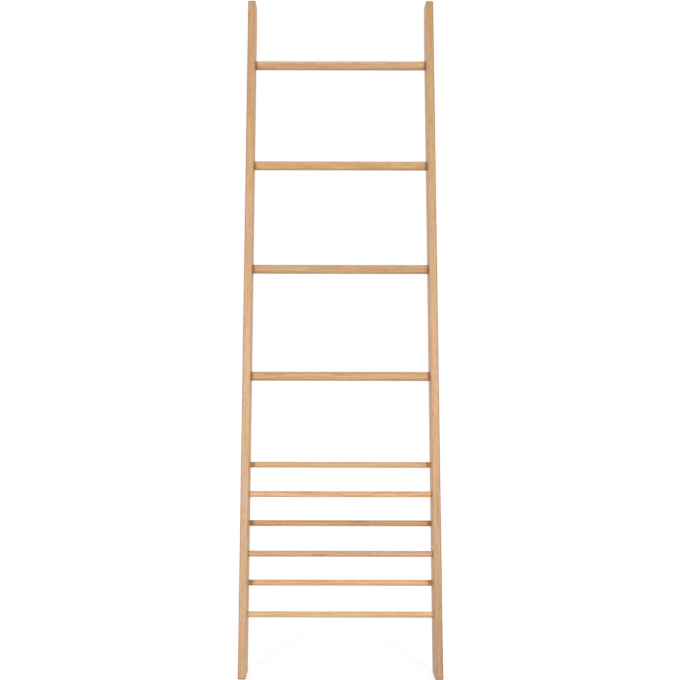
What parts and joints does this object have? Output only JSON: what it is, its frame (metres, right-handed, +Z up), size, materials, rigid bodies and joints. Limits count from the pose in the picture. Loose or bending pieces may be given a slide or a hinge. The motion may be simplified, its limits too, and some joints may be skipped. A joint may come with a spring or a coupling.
{
  "type": "blanket ladder",
  "caption": "Leaning blanket ladder in pale oak, with parallel flat stiles, round rungs above and slim rungs staggered front and back below.",
  "frame": {"origin": "on the floor, in the middle of the leaning ladder's width and depth", "axes": "+Z up along plumb, +X across the ladder to the right as seen from the front, +Y from the feet towards the wall"},
  "size_m": [0.6, 0.3374, 2.0934],
  "materials": {
    "oak_stile": "oiled, rounded edges",
    "oak_rung": "oiled, turned",
    "oak_slim_rung": "oiled, turned",
    "oak_plug": "oiled, sanded flush",
    "screw_steel": "zinc plated",
    "pad_rubber": "matt",
    "pad_felt": "pressed felt"
  },
  "bodies": {
    "root": {"stile_left": "oak_stile", "stile_right": "oak_stile", "rung_1": "oak_rung", "rung_2": "oak_rung", "rung_3": "oak_rung", "rung_4": "oak_rung", "slim_rung_1": "oak_slim_rung", "slim_rung_2": "oak_slim_rung", "slim_rung_3": "oak_slim_rung", "slim_rung_4": "oak_slim_rung", "slim_rung_5": "oak_slim_rung", "slim_rung_6": "oak_slim_rung", "rung_screw_1_left": "screw_steel", "rung_screw_1_right": "screw_steel", "rung_screw_2_left": "screw_steel", "rung_screw_2_right": "screw_steel", "rung_screw_3_left": "screw_steel", "rung_screw_3_right": "screw_steel", "rung_screw_4_left": "screw_steel", "rung_screw_4_right": "screw_steel", "screw_plug_1_left": "oak_plug", "screw_plug_1_right": "oak_plug", "screw_plug_2_left": "oak_plug", "screw_plug_2_right": "oak_plug", "screw_plug_3_left": "oak_plug", "screw_plug_3_right": "oak_plug", "screw_plug_4_left": "oak_plug", "screw_plug_4_right": "oak_plug", "foot_pad_left": "pad_rubber", "foot_pad_right": "pad_rubber", "wall_pad_left": "pad_felt", "wall_pad_right": "pad_felt"}
  },
  "joints": []
}
